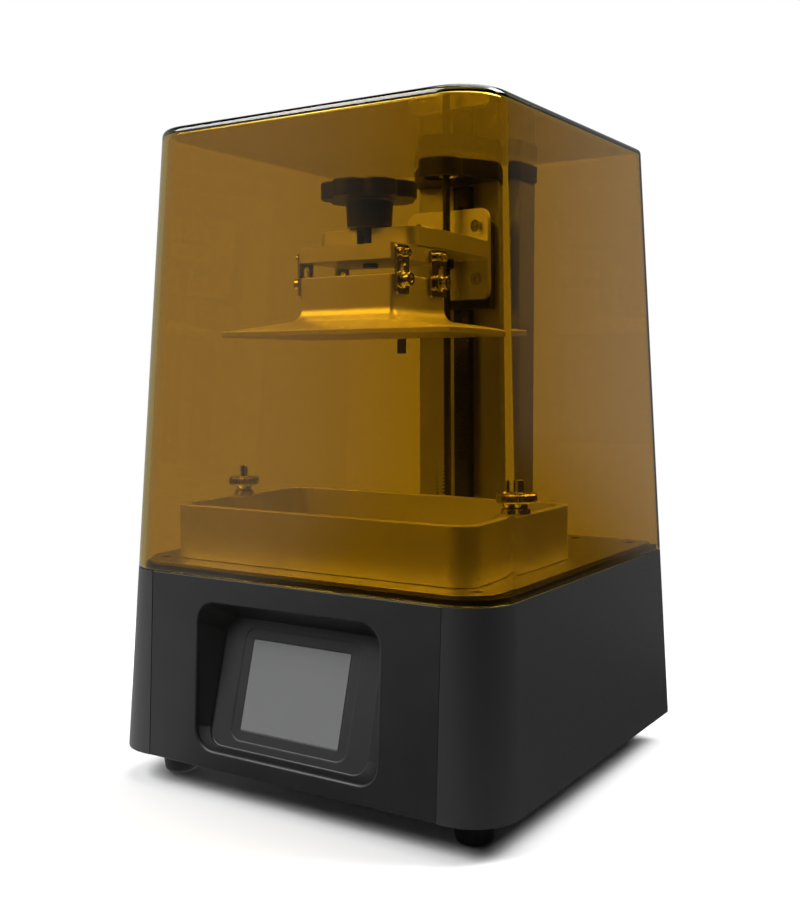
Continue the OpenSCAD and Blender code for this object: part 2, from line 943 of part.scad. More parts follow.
module vat_frame() {
    inner_w = vat_w / 2 - vat_wall;
    boss_top = 16;
    boss_foot = 24;
    color("#bfc0c2")
        difference() {
            union() {
                translate([0, 0, vat_z])
                    difference() {
                        linear_extrude(vat_rim_z - vat_z)
                            round_outline(vat_w / 2, vat_y - vat_d / 2, vat_y + vat_d / 2,
                                vat_corner_r, vat_corner_r);
                        translate([0, 0, 4.5]) linear_extrude(40)
                            round_outline(inner_w, vat_y - vat_d / 2 + vat_wall,
                                vat_y + vat_d / 2 - vat_wall, vat_corner_r - 3, vat_corner_r - 3);
                    }
                for (s = [0, 180])
                    translate([0, nut_y, vat_z + 3]) rotate([0, 0, s])
                        linear_extrude(vat_rim_z - vat_z - 3)
                            polygon([
                                [inner_w - 6.5, -boss_top / 2], [inner_w + 1, -boss_foot / 2],
                                [inner_w + 1, boss_foot / 2], [inner_w - 6.5, boss_top / 2]
                            ]);
            }
            translate([-film_half_w, vat_y - film_half_d, vat_z - 1])
                cube([2 * film_half_w, 2 * film_half_d, 20]);
            translate([-79.5, vat_y - 48.5, vat_z - 1]) cube([159, 97, 1 + 2.6]);
            for (s = [-1, 1])
                translate([s * nut_x, nut_y, vat_z - 1]) cylinder(r = nut_stud_r + 0.4, h = 40);
        }
}

module film_frame() {
    color("#2c2d2f")
        difference() {
            translate([-79, vat_y - 48, vat_z + 0.35]) cube([158, 96, 2.2]);
            translate([-film_half_w, vat_y - film_half_d, vat_z - 1])
                cube([2 * film_half_w, 2 * film_half_d, 8]);
        }
}

module release_film() {
    color([0.85, 0.87, 0.9, 0.5])
        translate([-78, vat_y - 47, vat_z + 0.1]) cube([156, 94, 0.25]);
}

module vat_studs() {
    color("#a9abae")
        for (s = [-1, 1])
            translate([s * nut_x, nut_y, deck_z + 1])
                difference() {
                    cylinder(r = nut_stud_r, h = 157.4 - deck_z - 1);
                    translate([-3, -0.35, 157.4 - deck_z - 2]) cube([6, 0.7, 2]);
                }
}

module thumb_nut() {
    translate([0, 0, vat_rim_z + 0.3])
        difference() {
            union() {
                cylinder(r = 5.2, h = 2.4);
                cylinder(r = 4, h = 8);
                translate([0, 0, 2.4]) cylinder(r1 = 3.6, r2 = 4.6, h = 3);
                translate([0, 0, 5.4]) cylinder(r = 8.1, h = 4.5);
            }
            translate([0, 0, -1]) cylinder(r = nut_bore_r, h = 14);
        }
}

module left_thumb_nut() {
    color("#8e9093") translate([-nut_x, nut_y, 0]) thumb_nut();
}

module right_thumb_nut() {
    color("#8e9093") translate([nut_x, nut_y, 0]) thumb_nut();
}

module lid_cover() {
    foot_z = ledge_z + 0.3;
    color([0.78, 0.5, 0.1, 0.45])
        difference() {
            hull() {
                body_slice(foot_z, 0);
                body_slice(cover_top_z - 3.5, 0);
                body_slice(cover_top_z - 1.6, 0.55);
                body_slice(cover_top_z - 0.5, 1.7);
                body_slice(cover_top_z - skin, 3.2);
            }
            body_solid(foot_z - through, cover_top_z - cover_wall, cover_wall);
        }
}

base_shell();
front_fascia();
display_glass();
display_board();
rear_panel();
rear_panel_screws();
base_floor();
feet();
foot_screws();
top_deck();
top_plate();
plate_screws();
lcd_panel();
light_shroud();
led_board();
led_chips();
heatsink();
lamp_bracket();
mainboard();
board_standoffs();
dc_inlet();
switch_housing();
switch_rocker();
usb_port();
ethernet_port();
fan_frame();
fan_rotor();
fan_guard();
fan_screws();
stepper_motor();
motor_shaft();
motor_standoffs();
coupler();
lead_screw();
top_bearing();
z_column();
column_cap();
linear_rail();
rail_screws();
rail_carriage();
z_arm();
arm_screws();
lead_nut();
limit_flag();
limit_sensor();
clamp_plate();
level_brackets();
bracket_screws();
build_plate();
lock_screws();
star_knob();
knob_stud();
vat_frame();
film_frame();
release_film();
vat_studs();
left_thumb_nut();
right_thumb_nut();
lid_cover();
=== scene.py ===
"""The looks of a desktop resin printer: an amber cover over a bright build area, on a dark tapered base."""

import json
from math import atan, cos, pi, radians, sin, sqrt

import bmesh
import bpy
from mathutils import Matrix, Vector

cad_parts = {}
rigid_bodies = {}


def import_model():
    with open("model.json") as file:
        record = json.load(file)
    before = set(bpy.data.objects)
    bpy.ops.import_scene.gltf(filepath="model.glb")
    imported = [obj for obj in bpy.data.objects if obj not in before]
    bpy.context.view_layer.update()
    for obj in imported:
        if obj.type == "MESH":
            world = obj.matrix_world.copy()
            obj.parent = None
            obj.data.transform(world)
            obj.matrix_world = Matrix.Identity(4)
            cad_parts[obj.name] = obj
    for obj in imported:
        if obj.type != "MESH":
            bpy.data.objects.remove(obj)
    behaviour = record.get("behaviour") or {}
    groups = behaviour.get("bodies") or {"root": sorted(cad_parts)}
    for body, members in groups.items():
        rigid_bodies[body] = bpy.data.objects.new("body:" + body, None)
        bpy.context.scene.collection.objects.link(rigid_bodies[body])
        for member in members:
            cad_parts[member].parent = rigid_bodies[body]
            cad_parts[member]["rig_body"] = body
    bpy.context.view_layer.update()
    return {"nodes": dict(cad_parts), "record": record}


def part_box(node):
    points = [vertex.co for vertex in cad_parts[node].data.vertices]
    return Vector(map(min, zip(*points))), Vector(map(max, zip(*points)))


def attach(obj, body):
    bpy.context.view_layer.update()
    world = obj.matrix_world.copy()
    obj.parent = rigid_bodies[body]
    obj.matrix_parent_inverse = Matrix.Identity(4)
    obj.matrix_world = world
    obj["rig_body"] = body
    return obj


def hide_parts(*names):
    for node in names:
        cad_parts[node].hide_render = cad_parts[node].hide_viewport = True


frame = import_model()
nodes = frame["nodes"]
MM = 0.001

# ---------------------------------------------------------------- camera

CAMERA_PLACE = (0.3279, -0.5147, 0.2086)
CAMERA_TURN = (radians(90 - 4.175), radians(0.13), radians(32.45))
CAMERA_LENS = 45.08
CAMERA_SHIFT = (-0.0031, -0.0018)


def make_camera():
    data = bpy.data.cameras.new("camera")
    data.sensor_width = 36
    data.lens = CAMERA_LENS
    data.shift_x, data.shift_y = CAMERA_SHIFT
    data.clip_start = 0.01
    camera = bpy.data.objects.new("camera", data)
    camera.location = CAMERA_PLACE
    camera.rotation_euler = CAMERA_TURN
    bpy.context.scene.collection.objects.link(camera)
    bpy.context.scene.camera = camera


make_camera()

# ---------------------------------------------------------------- materials


def new_material(name):
    """An empty node material and its Principled shader, already linked to the output."""
    material = bpy.data.materials.new(name)
    material.use_nodes = True
    tree = material.node_tree
    tree.nodes.clear()
    output = tree.nodes.new("ShaderNodeOutputMaterial")
    shader = tree.nodes.new("ShaderNodeBsdfPrincipled")
    tree.links.new(shader.outputs["BSDF"], output.inputs["Surface"])
    return material, tree, shader


def grain(tree, scale, stretch=(1, 1, 1), detail=3.0):
    """A noise pattern fixed to the piece; stretch squeezes it along x, y and z."""
    coord = tree.nodes.new("ShaderNodeTexCoord")
    mapping = tree.nodes.new("ShaderNodeMapping")
    mapping.inputs["Scale"].default_value = stretch
    noise = tree.nodes.new("ShaderNodeTexNoise")
    noise.inputs["Scale"].default_value = scale
    noise.inputs["Detail"].default_value = detail
    tree.links.new(coord.outputs["Object"], mapping.inputs["Vector"])
    tree.links.new(mapping.outputs["Vector"], noise.inputs["Vector"])
    return noise.outputs["Fac"]


def spread(tree, value, low, high):
    """Maps a noise value onto the range from low to high."""
    node = tree.nodes.new("ShaderNodeMapRange")
    node.inputs["From Min"].default_value = 0.25
    node.inputs["From Max"].default_value = 0.75
    node.inputs["To Min"].default_value = low
    node.inputs["To Max"].default_value = high
    tree.links.new(value, node.inputs["Value"])
    return node.outputs["Result"]


def blend_colours(tree, factor, first, second):
    node = tree.nodes.new("ShaderNodeMix")
    node.data_type = "RGBA"
    colours = [s for s in node.inputs if s.type == "RGBA"]
    for socket, colour in zip(colours, (first, second)):
        socket.default_value = (*colour, 1)
    tree.links.new(factor, node.inputs["Factor"])
    return [s for s in node.outputs if s.type == "RGBA"][0]


def edge_highlight_mask(tree):
    """Near 1 along the sharp outer edges of a piece and 0 on its faces: the mask for a painted edge
    highlight.
    """
    geometry = tree.nodes.new("ShaderNodeNewGeometry")
    node = tree.nodes.new("ShaderNodeMapRange")
    node.inputs["From Min"].default_value = 0.53
    node.inputs["From Max"].default_value = 0.62
    tree.links.new(geometry.outputs["Pointiness"], node.inputs["Value"])
    return node.outputs["Result"]


def add_bump(tree, shader, height, strength, distance):
    bump = tree.nodes.new("ShaderNodeBump")
    bump.inputs["Strength"].default_value = strength
    bump.inputs["Distance"].default_value = distance
    tree.links.new(height, bump.inputs["Height"])
    tree.links.new(bump.outputs["Normal"], shader.inputs["Normal"])


def surface(name, colour, rough, metallic=0.0, fleck=0.15, fleck_scale=60, rough_shift=0.06,
            bump_scale=1500, bump_stretch=(1, 1, 1), bump_strength=0.25, bump_depth=0.03 * MM,
            edge=None, specular=0.5):
    """One finish: slow colour changes, a fine bump, uneven gloss and, with edge, a painted highlight: a
    lighter colour along the outer edges.
    """
    material, tree, shader = new_material(name)
    slow = grain(tree, fleck_scale)
    dark = tuple(c * (1 - fleck) for c in colour)
    light = tuple(min(1.0, c * (1 + fleck)) for c in colour)
    tinted = blend_colours(tree, spread(tree, slow, 0, 1), dark, light)
    # edge paints a highlight: the outer edges get a lighter colour, as if they caught the light.
    if edge:
        mixed = tree.nodes.new("ShaderNodeMix")
        mixed.data_type = "RGBA"
        sockets = [s for s in mixed.inputs if s.type == "RGBA"]
        tree.links.new(edge_highlight_mask(tree), mixed.inputs["Factor"])
        tree.links.new(tinted, sockets[0])
        sockets[1].default_value = (*edge, 1)
        tinted = [s for s in mixed.outputs if s.type == "RGBA"][0]
    tree.links.new(tinted, shader.inputs["Base Color"])
    fine = grain(tree, bump_scale, bump_stretch, 4.0)
    tree.links.new(spread(tree, fine, rough - rough_shift, rough + rough_shift), shader.inputs["Roughness"])
    add_bump(tree, shader, fine, bump_strength, bump_depth)
    shader.inputs["Metallic"].default_value = metallic
    shader.inputs["Specular IOR Level"].default_value = specular
    return material


def tinted_clear(name, through, rough, smudge):
    """Clear plastic that tints shadow rays; through is the colour that light keeps after one wall."""
    material, tree, shader = new_material(name)
    shader.inputs["Base Color"].default_value = (*through, 1)
    shader.inputs["Transmission Weight"].default_value = 1
    shader.inputs["IOR"].default_value = 1.49
    handled = grain(tree, 14, (1, 1, 0.5), 2.0)
    tree.links.new(spread(tree, handled, rough, rough + smudge), shader.inputs["Roughness"])
    path = tree.nodes.new("ShaderNodeLightPath")
    clear = tree.nodes.new("ShaderNodeBsdfTransparent")
    clear.inputs["Color"].default_value = (*[sqrt(c) for c in through], 1)
    mix = tree.nodes.new("ShaderNodeMixShader")
    output = next(n for n in tree.nodes if n.type == "OUTPUT_MATERIAL")
    tree.links.new(path.outputs["Is Shadow Ray"], mix.inputs["Fac"])
    tree.links.new(shader.outputs["BSDF"], mix.inputs[1])
    tree.links.new(clear.outputs["BSDF"], mix.inputs[2])
    tree.links.new(mix.outputs["Shader"], output.inputs["Surface"])
    return material


BRUSHED_X = (0.02, 1, 1)
BRUSHED_Z = (1, 1, 0.02)
AMBER = (0.505, 0.343, 0.045)


def make_materials():
    """One finish for each material slot of the record."""
    blasted = dict(metallic=1.0, fleck=0.04, bump_scale=2600, bump_strength=0.3, bump_depth=0.02 * MM)
    steel = dict(metallic=1.0, fleck=0.06, bump_scale=1800, bump_strength=0.12, bump_depth=0.01 * MM)
    moulded = dict(bump_scale=1400, bump_strength=0.35, bump_depth=0.035 * MM)
    # edge= is a painted highlight: a lighter colour along the outer edges of the shell, fascia, black
    # plastic, cast and vat aluminium.
    made = {
        "shell_plastic": surface("shell_plastic", (0.011, 0.0111, 0.0113), 0.45, edge=(0.022, 0.022, 0.023),
                                 **moulded),
        "fascia_plastic": surface("fascia_plastic", (0.0105, 0.0106, 0.0108), 0.45,
                                  edge=(0.024, 0.024, 0.025), **moulded),
        "display_glass": surface("display_glass", (0.14, 0.142, 0.145), 0.36, fleck=0.03, fleck_scale=20,
                                 bump_strength=0.06, bump_scale=4000, specular=0.45),
        "black_plastic": surface("black_plastic", (0.008, 0.008, 0.0085), 0.36, edge=(0.02, 0.02, 0.02),
                                 **moulded),
        "circuit_board": surface("circuit_board", (0.01, 0.08, 0.04), 0.35, fleck=0.3, fleck_scale=400),
        "lamp_board": surface("lamp_board", (0.8, 0.8, 0.76), 0.4, fleck=0.03),
        "led_lens": surface("led_lens", (0.8, 0.7, 0.3), 0.15, fleck=0.05),
        "lcd_glass": surface("lcd_glass", (0.006, 0.0065, 0.008), 0.08, fleck=0.1, fleck_scale=30,
                             bump_strength=0.02, rough_shift=0.02, specular=0.6),
        "white_plastic": surface("white_plastic", (0.75, 0.76, 0.77), 0.3, fleck=0.03),
        "bed_aluminium": surface("bed_aluminium", (0.66, 0.66, 0.67), 0.33, 1.0, fleck=0.05, bump_scale=1500,
                                 bump_stretch=BRUSHED_X, bump_strength=0.3, bump_depth=0.012 * MM),
        "cast_aluminium": surface("cast_aluminium", (0.82, 0.82, 0.83), 0.42, edge=(0.85, 0.85, 0.86),
                                  **blasted),
        "vat_aluminium": surface("vat_aluminium", (0.86, 0.86, 0.87), 0.46, edge=(0.9, 0.9, 0.91),
                                 **blasted),
        "fin_aluminium": surface("fin_aluminium", (0.5, 0.51, 0.52), 0.4, 1.0, bump_stretch=BRUSHED_Z),
        "column_steel": surface("column_steel", (0.46, 0.46, 0.47), 0.42, 0.9, fleck=0.06,
                                bump_stretch=BRUSHED_Z, bump_strength=0.15),
        "bright_steel": surface("bright_steel", (0.72, 0.71, 0.7), 0.2, **steel),
        "dark_steel": surface("dark_steel", (0.09, 0.09, 0.095), 0.25, **steel),
        "sheet_steel": surface("sheet_steel", (0.05, 0.05, 0.052), 0.42, 0.4, bump_strength=0.2, fleck=0.1),
        "rubber": surface("rubber", (0.006, 0.006, 0.006), 0.62, bump_scale=1100, bump_strength=0.5,
                          specular=0.3),
        "red_plastic": surface("red_plastic", (0.35, 0.012, 0.012), 0.2, fleck=0.05, bump_strength=0.05),
        "brass": surface("brass", (0.6, 0.42, 0.15), 0.25, **steel),
        "amber_acrylic": tinted_clear("amber_acrylic", AMBER, 0.0, 0.012),
        "clear_film": tinted_clear("clear_film", (0.93, 0.94, 0.95), 0.03, 0.04),
    }
    return made


FINISH = make_materials()
SLOT_OF = {row["node"]: row["material_slot"] for row in frame["record"]["subparts"]}

# ---------------------------------------------------------------- mesh helpers


def body_of(node):
    return nodes[node]["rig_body"]


def new_piece(name, mesh, node, smooth_angle=40):
    """Links a mesh as the piece that stands for a CAD node, with that node's body, slot and finish."""
    piece = bpy.data.objects.new(name, mesh)
    bpy.context.scene.collection.objects.link(piece)
    slot = SLOT_OF[node]
    mesh.materials.clear()
    mesh.materials.append(FINISH[slot])
    mesh.shade_smooth()
    mesh.set_sharp_from_angle(angle=radians(smooth_angle))
    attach(piece, body_of(node))
    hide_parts(node)
    return piece


def mesh_from(bm, name):
    bmesh.ops.recalc_face_normals(bm, faces=bm.faces)
    mesh = bpy.data.meshes.new(name)
    bm.to_mesh(mesh)
    bm.free()
    return mesh


def even_normals(piece):
    """Keeps large faces flat in shading where they meet small ones."""
    modifier = piece.modifiers.new("normals", "WEIGHTED_NORMAL")
    modifier.keep_sharp = True
    modifier.weight = 90


def softened(node, width):
    """A copy of a CAD node with its triangles merged into faces and its sharp edges rounded."""
    bm = bmesh.new()
    bm.from_mesh(nodes[node].data)
    bmesh.ops.remove_doubles(bm, verts=bm.verts, dist=0.002 * MM)
    bmesh.ops.dissolve_limit(bm, angle_limit=radians(0.6), verts=bm.verts, edges=bm.edges)
    mesh = bpy.data.meshes.new("soft_" + node)
    bm.to_mesh(mesh)
    bm.free()
    piece = new_piece("soft_" + node, mesh, node)
    bevel = piece.modifiers.new("edges", "BEVEL")
    bevel.width = width
    bevel.segments = 2
    bevel.limit_method = "ANGLE"
    bevel.angle_limit = radians(32)
    bevel.miter_outer = "MITER_ARC"
    even_normals(piece)


def ring_faces(bm, lower, upper):
    """Quads between two closed rings with the same number of points."""
    count = len(lower)
    for i in range(count):
        j = (i + 1) % count
        bm.faces.new((lower[i], lower[j], upper[j], upper[i]))


def skin(bm, rings):
    """Lays a skin over closed rings of points and gives back the rings' vertices."""
    loops = [[bm.verts.new(p) for p in ring] for ring in rings]
    for lower, upper in zip(loops, loops[1:]):
        ring_faces(bm, lower, upper)
    return loops


def loft(name, rings):
    """A mesh with a skin over closed rings of points and a flat face at each end."""
    bm = bmesh.new()
    loops = skin(bm, rings)
    bm.faces.new(list(reversed(loops[0])))
    bm.faces.new(loops[-1])
    return mesh_from(bm, name)


def outline(half_w, front, back, front_r, rear_r, steps=12):
    """Points round a rectangle with its own front and rear corner radii and a point close beside each arc."""
    corners = [
        (half_w - front_r, front + front_r, front_r, -90),
        (half_w - rear_r, back - rear_r, rear_r, 0),
        (rear_r - half_w, back - rear_r, rear_r, 90),
        (front_r - half_w, front + front_r, front_r, 180),
    ]
    near = 0.8 * MM
    points = []
    for x, y, r, start in corners:
        first, last = radians(start), radians(start + 90)
        points.append((x + r * cos(first) + near * sin(first), y + r * sin(first) - near * cos(first)))
        for i in range(steps + 1):
            a = first + (last - first) * i / steps
            points.append((x + r * cos(a), y + r * sin(a)))
        points.append((x + r * cos(last) - near * sin(last), y + r * sin(last) + near * cos(last)))
    return points


def at_height(points, z):
    return [(x, y, z) for x, y in points]


def circle_ring(x, y, z, r, count):
    return [(x + r * cos(2 * pi * i / count), y + r * sin(2 * pi * i / count), z) for i in range(count)]


# ---------------------------------------------------------------- the tapered body

BASE_LOW, BASE_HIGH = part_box("base_shell")
COVER_LOW, COVER_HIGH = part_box("lid_cover")
SIDE_LEAN, FRONT_LEAN, BACK_LEAN = 0.051, 0.05, 0.039
FRONT_CORNER, REAR_CORNER = 23.9 * MM, 3.4 * MM
COVER_WALL = 3 * MM
COVER_EDGE = 3.2 * MM


def half_width(z):
    return BASE_HIGH.x - SIDE_LEAN * (z - BASE_LOW.z)


def front_face(z):
    return COVER_LOW.y + FRONT_LEAN * (z - COVER_LOW.z)


def back_face(z):
    return BASE_HIGH.y - BACK_LEAN * (z - BASE_LOW.z)


def body_ring(z, inset):
    """The outline of the body at height z, moved inward by inset."""
    front_r = max(FRONT_CORNER - inset, MM)
    rear_r = max(REAR_CORNER - inset, 0.8 * MM)
    points = outline(half_width(z) - inset, front_face(z) + inset, back_face(z) - inset, front_r, rear_r, 24)
    return at_height(points, z)


def rounded_edge(top, radius, start_inset, steps=6):
    """Rings that turn a wall over into a flat top: (height, inset) pairs."""
    pairs = []
    for i in range(steps + 1):
        a = pi / 2 * i / steps
        pairs.append((top - radius + radius * sin(a), start_inset + radius * (1 - cos(a))))
    return pairs


def make_cover():
    """The clear cover: an outer and an inner skin with rounded top edges, joined along the foot."""
    foot, top = COVER_LOW.z, COVER_HIGH.z
    inner_top = top - COVER_WALL
    foot_round = 0.4 * MM
    outer = [(foot, foot_round), (foot + foot_round, 0), (foot + 2 * MM, 0), (top - COVER_EDGE - MM, 0)]
    outer += rounded_edge(top, COVER_EDGE, 0)
    outer.append((top, COVER_EDGE + 1.5 * MM))
    inner = [(foot, COVER_WALL - foot_round), (foot + foot_round, COVER_WALL), (foot + 2 * MM, COVER_WALL)]
    inner_edge = 1.4 * MM
    inner.append((inner_top - inner_edge - MM, COVER_WALL))
    inner += rounded_edge(inner_top, inner_edge, COVER_WALL, 4)
    inner.append((inner_top, COVER_WALL + inner_edge + 1.5 * MM))
    bm = bmesh.new()
    skins = []
    for pairs in (outer, inner):
        loops = skin(bm, [body_ring(z, inset) for z, inset in pairs])
        bm.faces.new(loops[-1])
        skins.append(loops)
    outer_foot, inner_foot = skins[0][0], skins[1][0]
    ring_faces(bm, outer_foot, inner_foot)
    piece = new_piece("cover", mesh_from(bm, "cover"), "lid_cover", 60)
    even_normals(piece)


make_cover()

# ---------------------------------------------------------------- front panel with its display pocket

FASCIA_TILT = atan(FRONT_LEAN)
DISPLAY_TILT = radians(15.3)
DISPLAY_DEPTH = 8.9 * MM
POCKET = dict(width=106 * MM, height=72 * MM, r=10 * MM, z=61 * MM)
SEAT = dict(width=93 * MM, height=63 * MM, r=8 * MM, z=57.8 * MM)
WINDOW = dict(width=58 * MM, height=43.8 * MM, r=0.8 * MM)
FASCIA_WALL = 2.4 * MM


def face_frame(origin, tilt):
    """A frame on a leaning face: x right, y up the face, z outward."""
    return Matrix.Translation(origin) @ Matrix.Rotation(pi / 2 - tilt, 4, "X")


def round_rect(width, height, r, steps=8):
    return outline(width / 2, -height / 2, height / 2, r, r, steps)


def grown(shape, by):
    """A round rectangle's outline, moved outward by a distance."""
    return round_rect(shape["width"] + 2 * by, shape["height"] + 2 * by, max(shape["r"] + by, 0.3 * MM))


def placed(frame_matrix, points, lift):
    return [frame_matrix @ Vector((x, y, lift)) for x, y in points]


def make_fascia():
    """The front panel: flat round its edge, with a filleted pocket that leads down to the display's seat."""
    low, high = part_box("front_fascia")
    front_at = face_frame((0, front_face(POCKET["z"]), POCKET["z"]), FASCIA_TILT)
    seat_at = face_frame((0, front_face(SEAT["z"]) + DISPLAY_DEPTH, SEAT["z"]), DISPLAY_TILT)
    mouth_r, floor_r = 1.4 * MM, 0.9 * MM
    rings = []
    for i in range(6):
        a = pi / 2 * i / 5
        rings.append(placed(front_at, grown(POCKET, mouth_r * (1 - sin(a))), -mouth_r * (1 - cos(a))))
    mouth_end, floor_start = rings[-1], placed(seat_at, grown(SEAT, 0), floor_r)
    for i in range(1, 5):
        t = i / 5
        rings.append([a.lerp(b, t) for a, b in zip(mouth_end, floor_start)])
    for i in range(6):
        a = pi / 2 * i / 5
        rings.append(placed(seat_at, grown(SEAT, -floor_r * (1 - cos(a))), floor_r * (1 - sin(a))))
    step_at, step_deep = 5.5 * MM, 0.3 * MM
    rings.append(placed(seat_at, grown(WINDOW, step_at + MM), 0))
    rings.append(placed(seat_at, grown(WINDOW, step_at), 0))
    rings.append(placed(seat_at, grown(WINDOW, step_at - 0.4 * MM), -step_deep / 2))
    rings.append(placed(seat_at, grown(WINDOW, step_at - 0.8 * MM), -step_deep))
    rings.append(placed(seat_at, grown(WINDOW, 0.3 * MM), -step_deep))
    rings.append(placed(seat_at, grown(WINDOW, 0), -step_deep - 0.2 * MM))
    rings.append(placed(seat_at, grown(WINDOW, 0), -FASCIA_WALL))
    bm = bmesh.new()
    loops = skin(bm, rings)
    edge_round = 0.35 * MM
    corners = []
    for x, z in ((low.x, low.z), (high.x, low.z), (high.x, high.z), (low.x, high.z)):
        sx, sz = (1 if x < 0 else -1), (1 if z == low.z else -1)
        corners.append((x + sx * edge_round, z + sz * edge_round, x, z))
    flat = [bm.verts.new((x, front_face(z), z)) for x, z, _, _ in corners]
    rim = [bm.verts.new((x, front_face(z) + edge_round, z)) for _, _, x, z in corners]
    deep = [bm.verts.new((x, front_face(z) + FASCIA_WALL, z)) for _, _, x, z in corners]
    ring_faces(bm, flat, rim)
    ring_faces(bm, rim, deep)
    border = [bm.edges.get((flat[i], flat[(i + 1) % 4])) for i in range(4)]
    mouth = [bm.edges.get((loops[0][i], loops[0][(i + 1) % len(loops[0])])) for i in range(len(loops[0]))]
    bmesh.ops.triangle_fill(bm, edges=border + mouth, use_beauty=True)
    piece = new_piece("front_panel", mesh_from(bm, "front_panel"), "front_fascia", 50)
    thick = piece.modifiers.new("wall", "SOLIDIFY")
    thick.thickness = 1.2 * MM
    thick.offset = -1
    even_normals(piece)


make_fascia()

# ---------------------------------------------------------------- lead screw


def make_lead_screw():
    """A trapezoidal thread with a 2 mm lead, and plain turned ends."""
    low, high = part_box("lead_screw")
    centre = (low + high) / 2
    crest, root = (high.x - low.x) / 2, (high.x - low.x) / 2 - 0.6 * MM
    lead, around, per_turn = 2 * MM, 24, 8
    plain_foot, plain_head = 20 * MM, 8 * MM
    start, end = low.z + plain_foot, high.z - plain_head
    rows = int((end - start) / lead * per_turn)
    profile = [root, root, root + 0.3 * MM, crest, crest, crest, root + 0.3 * MM, root]
    rings = [circle_ring(centre.x, centre.y, low.z, root, around)]
    rings.append(circle_ring(centre.x, centre.y, start, root, around))
    for row in range(rows + 1):
        z = start + row * lead / per_turn
        ring = []
        for i in range(around):
            a = 2 * pi * i / around
            phase = (row - i * per_turn / around) % per_turn
            step, part = int(phase), phase - int(phase)
            r = profile[step] * (1 - part) + profile[(step + 1) % per_turn] * part
            ring.append((centre.x + r * cos(a), centre.y + r * sin(a), z))
        rings.append(ring)
    rings.append(circle_ring(centre.x, centre.y, end + 0.3 * MM, root, around))
    rings.append(circle_ring(centre.x, centre.y, high.z - 0.4 * MM, root, around))
    rings.append(circle_ring(centre.x, centre.y, high.z, root - 0.4 * MM, around))
    new_piece("threaded_screw", loft("threaded_screw", rings), "lead_screw", 35)


make_lead_screw()

# ---------------------------------------------------------------- star knob


def make_star_knob():
    """A seven-lobed clamp knob on a tapered hub."""
    low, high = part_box("star_knob")
    centre = (low + high) / 2
    lobes, around = 7, 7 * 20
    reach, dip = 24.4 * MM, 3.4 * MM
    hub_low, hub_high = 11.3 * MM, 11.9 * MM
    disc_low = high.z - 8.5 * MM
    edge, blend = 1.2 * MM, 1.5 * MM

    def lobe_ring(z, inset):
        points = []
        for i in range(around):
            a = 2 * pi * i / around
            dent = ((1 - cos(lobes * (a - radians(12)))) / 2) ** 3
            r = reach - dip * dent - inset
            points.append((centre.x + r * cos(a), centre.y + r * sin(a), z))
        return points

    def hub_ring(z, r):
        return circle_ring(centre.x, centre.y, z, r, around)

    rings = [hub_ring(low.z, hub_low - 0.8 * MM), hub_ring(low.z + 0.8 * MM, hub_low)]
    rings.append(hub_ring(disc_low - blend, hub_high))
    for i in range(1, 6):
        a = pi / 2 * i / 5
        rings.append(hub_ring(disc_low - blend + blend * sin(a), hub_high + blend * (1 - cos(a))))
    rings.append(lobe_ring(disc_low, edge + 0.6 * MM))
    for i in range(6):
        a = pi / 2 * i / 5
        rings.append(lobe_ring(disc_low + edge * (1 - cos(a)), edge * (1 - sin(a))))
    for i in range(6):
        a = pi / 2 * i / 5
        rings.append(lobe_ring(high.z - edge * (1 - sin(a)), edge * (1 - cos(a))))
    rings.append(lobe_ring(high.z, edge + 0.6 * MM))
    rings.append(hub_ring(high.z, 15 * MM))
    rings.append(hub_ring(high.z - 0.5 * MM, 14.4 * MM))
    rings.append(hub_ring(high.z - 1.2 * MM, 14 * MM))
    rings.append(hub_ring(high.z - 1.2 * MM, 4 * MM))
    piece = new_piece("clamp_knob", loft("clamp_knob", rings), "star_knob", 40)
    even_normals(piece)


make_star_knob()

# ---------------------------------------------------------------- thumb nuts


def make_thumb_nut(node, name):
    """A knurled disc on a waisted collar."""
    low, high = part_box(node)
    x, y = (low.x + high.x) / 2, (low.y + high.y) / 2
    reach, teeth = (high.x - low.x) / 2, 36
    around = teeth * 4
    knurl = (0.35 * MM, 0.1 * MM, 0.1 * MM, 0.35 * MM)
    base = low.z
    disc_low, disc_high = base + 5.4 * MM, high.z

    def plain(z, r):
        return circle_ring(x, y, z, r, around)

    def knurled(z, inset):
        points = []
        for i in range(around):
            a = 2 * pi * i / around
            r = reach - inset - knurl[i % 4] + 0.1 * MM
            points.append((x + r * cos(a), y + r * sin(a), z))
        return points

    rings = [plain(base, 2.1 * MM), plain(base, 4.9 * MM), plain(base + 0.3 * MM, 5.2 * MM)]
    rings += [plain(base + 2.1 * MM, 5.2 * MM), plain(base + 2.4 * MM, 4.9 * MM)]
    rings += [plain(base + 2.5 * MM, 4 * MM), plain(base + 3.2 * MM, 3.8 * MM)]
    rings += [plain(base + 4.6 * MM, 4.2 * MM)]
    rings += [plain(disc_low, 5 * MM), plain(disc_low, reach - 1.4 * MM)]
    rings += [knurled(disc_low + 0.1 * MM, 0.7 * MM), knurled(disc_low + 0.8 * MM, 0)]
    rings += [knurled(disc_high - 0.8 * MM, 0), knurled(disc_high - 0.1 * MM, 0.7 * MM)]
    rings += [plain(disc_high, reach - 1.4 * MM), plain(disc_high, 4.4 * MM)]
    rings += [plain(disc_high - 0.4 * MM, 4 * MM), plain(disc_high - 0.4 * MM, 2.6 * MM)]
    rings += [plain(disc_high - 0.9 * MM, 2.1 * MM)]
    bm = bmesh.new()
    loops = skin(bm, rings)
    ring_faces(bm, loops[-1], loops[0])
    new_piece(name, mesh_from(bm, name), node, 32)


make_thumb_nut("left_thumb_nut", "knurled_nut_left")
make_thumb_nut("right_thumb_nut", "knurled_nut_right")

# ---------------------------------------------------------------- build plate


